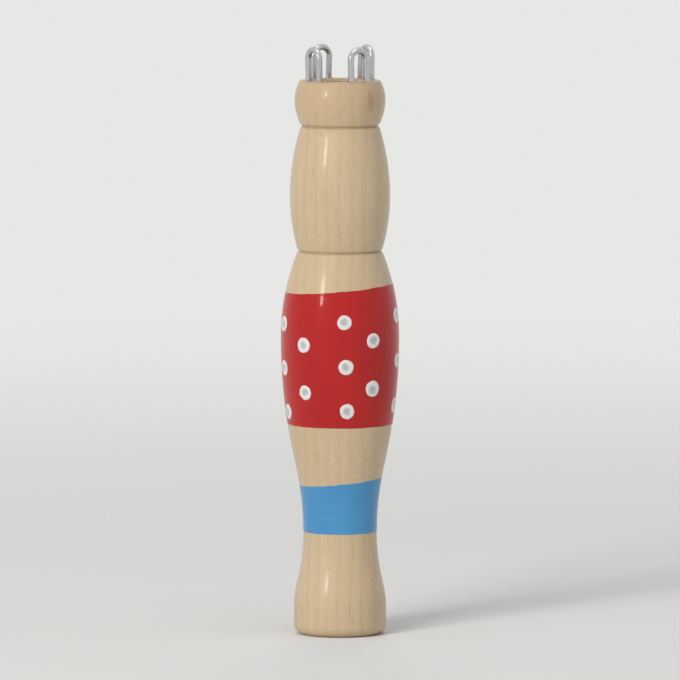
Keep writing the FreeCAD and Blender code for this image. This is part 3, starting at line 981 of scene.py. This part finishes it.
for node, turn, lean, splay, sway, seed in (
    ("staple_front", 0, 0.020, 0.012, 0.10, 1),
    ("staple_right", 90, -0.028, -0.010, 0.12, 2),
    ("staple_back", 180, 0.012, 0.016, 0.08, 3),
    ("staple_left", 270, -0.016, 0.004, 0.12, 4),
):
    staples[node] = grow(
        f"wire_{node}",
        staple_tree,
        nothing,
        Width=STAPLE_WIDTH * MM,
        Rise=(STAPLE_SUNK + STAPLE_PROUD) * MM,
        Sunk=STAPLE_SUNK * MM,
        Wire_radius=WIRE * MM,
        Tip_chamfer=TIP_CHAMFER * MM,
        Out=STAPLE_OFFSET * MM,
        Floor=(TOP[1] - STAPLE_SUNK) * MM,
        Turn=math.radians(turn),
        Lean=lean,
        Splay=splay,
        Sway=sway * MM,
        Points=120,
        Sides=24,
        Seed=seed,
        Material=STEEL,
    )

for piece, slot, nodes in (
    (wood, "wood", ["turned_body"]),
    (red, "red_enamel", ["red_paint_coat"]),
    (blue, "blue_enamel", ["blue_paint_coat"]),
    (dabs, "white_enamel", ["white_dot_paint"]),
    *((piece, "steel_wire", [node]) for node, piece in staples.items()),
):
    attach(piece, "root")
    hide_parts(*nodes)

# Studio: a pale floor, five soft lamps and the camera. Azimuths and elevations are in degrees.

VIEW_AZIMUTH = -36
VIEW_ELEVATION = 5.5
VIEW_DISTANCE = 2.0
LENS = 525
SENSOR = 36
MIDDLE = Vector((0, 0, 59.5 * MM))

WARM = (1.0, 0.98, 0.95)
COOL = (0.94, 0.97, 1.0)
PALE_COOL = (0.97, 0.98, 1.0)
NEUTRAL = (1.0, 1.0, 1.0)

BACKDROP = (0.8, 0.8, 0.79, 1)
AMBIENT = 0.3
FLOOR_SIZE = 12
SHADOW_SHOWS = 0.12
SHADOW_ENDS = 0.7


def seen_from(azimuth, elevation, distance):
    """A place that looks at the doll's middle from an azimuth and an elevation in degrees."""
    azimuth, elevation = math.radians(azimuth), math.radians(elevation)
    level = math.cos(elevation)
    direction = Vector((math.sin(azimuth) * level, -math.cos(azimuth) * level, math.sin(elevation)))
    return MIDDLE + direction * distance


def aimed(thing, name, place):
    """Put a lamp or a camera in the scene, aimed at the doll's middle."""
    holder = bpy.data.objects.new(name, thing)
    bpy.context.scene.collection.objects.link(holder)
    holder.location = place
    holder.rotation_euler = (MIDDLE - place).to_track_quat("-Z", "Y").to_euler()
    return holder


def seen_directly(tree):
    """1 for what the camera sees, straight or in something glossy, and 0 for lighting."""
    path = tree.add("ShaderNodeLightPath")
    return tree.clamp(path + path.also("Is Glossy Ray") + path.also("Is Transmission Ray"))


# Each lamp's azimuth is counted from the camera's own.
for name, azimuth, elevation, distance, size, watts, tint, mirrored in (
    ("key", -34, 30, 2.2, (0.9, 1.2), 24, WARM, False),
    ("glint", -38, 19, 2.2, (0.2, 0.54), 7, WARM, True),
    ("fill", 70, 12, 2.6, (1.4, 1.4), 6, COOL, False),
    ("top", 0, 78, 2.0, (1.5, 1.5), 9, NEUTRAL, True),
    ("back", 180, 28, 2.6, (1.4, 1.4), 13, PALE_COOL, False),
):
    light = bpy.data.lights.new(name, "AREA")
    light.shape = "RECTANGLE"
    light.size, light.size_y = size
    light.energy = watts
    light.color = tint
    lamp = aimed(light, name, seen_from(VIEW_AZIMUTH + azimuth, elevation, distance))
    lamp.visible_glossy = mirrored

world = bpy.data.worlds.new("studio")
bpy.context.scene.world = world
world.use_nodes = True
sky = Tree(world.node_tree)
sky.nodes.clear()
dim = sky.add("ShaderNodeBackground", (), {"Color": (1, 1, 1, 1), "Strength": AMBIENT})
plain = sky.add("ShaderNodeBackground", (), {"Color": BACKDROP, "Strength": 1.0})
both = sky.add("ShaderNodeMixShader", (), {0: seen_directly(sky), 1: dim, 2: plain})
sky.add("ShaderNodeOutputWorld", (), {"Surface": both})

floor_mesh = bpy.data.meshes.new("floor")
shape = bmesh.new()
bmesh.ops.create_grid(shape, x_segments=2, y_segments=2, size=FLOOR_SIZE)
shape.to_mesh(floor_mesh)
shape.free()
floor = bpy.data.objects.new("floor", floor_mesh)
bpy.context.scene.collection.objects.link(floor)

# The floor shows its shadows near the doll and turns into the plain backdrop further out.
floor_finish = bpy.data.materials.new("pale_floor")
floor_finish.use_nodes = True
paper = Tree(floor_finish.node_tree)
paper.nodes.clear()
spot = paper.add("ShaderNodeTexCoord", output="Object")
far = paper.fade(paper.vector("LENGTH", spot, output=1), SHADOW_SHOWS, SHADOW_ENDS)
matt = paper.add("ShaderNodeBsdfDiffuse", (), {"Color": BACKDROP})
plain = paper.add("ShaderNodeEmission", (), {"Color": BACKDROP, "Strength": 1.0})
both = paper.add("ShaderNodeMixShader", (), {0: seen_directly(paper) * far, 1: matt, 2: plain})
paper.add("ShaderNodeOutputMaterial", (), {"Surface": both})
floor_mesh.materials.append(floor_finish)

lens = bpy.data.cameras.new("camera")
lens.sensor_width = SENSOR
lens.lens = LENS
lens.clip_start = 0.01
camera = aimed(lens, "camera", seen_from(VIEW_AZIMUTH, VIEW_ELEVATION, VIEW_DISTANCE))
bpy.context.scene.camera = camera
bpy.context.scene.view_settings.view_transform = "Standard"
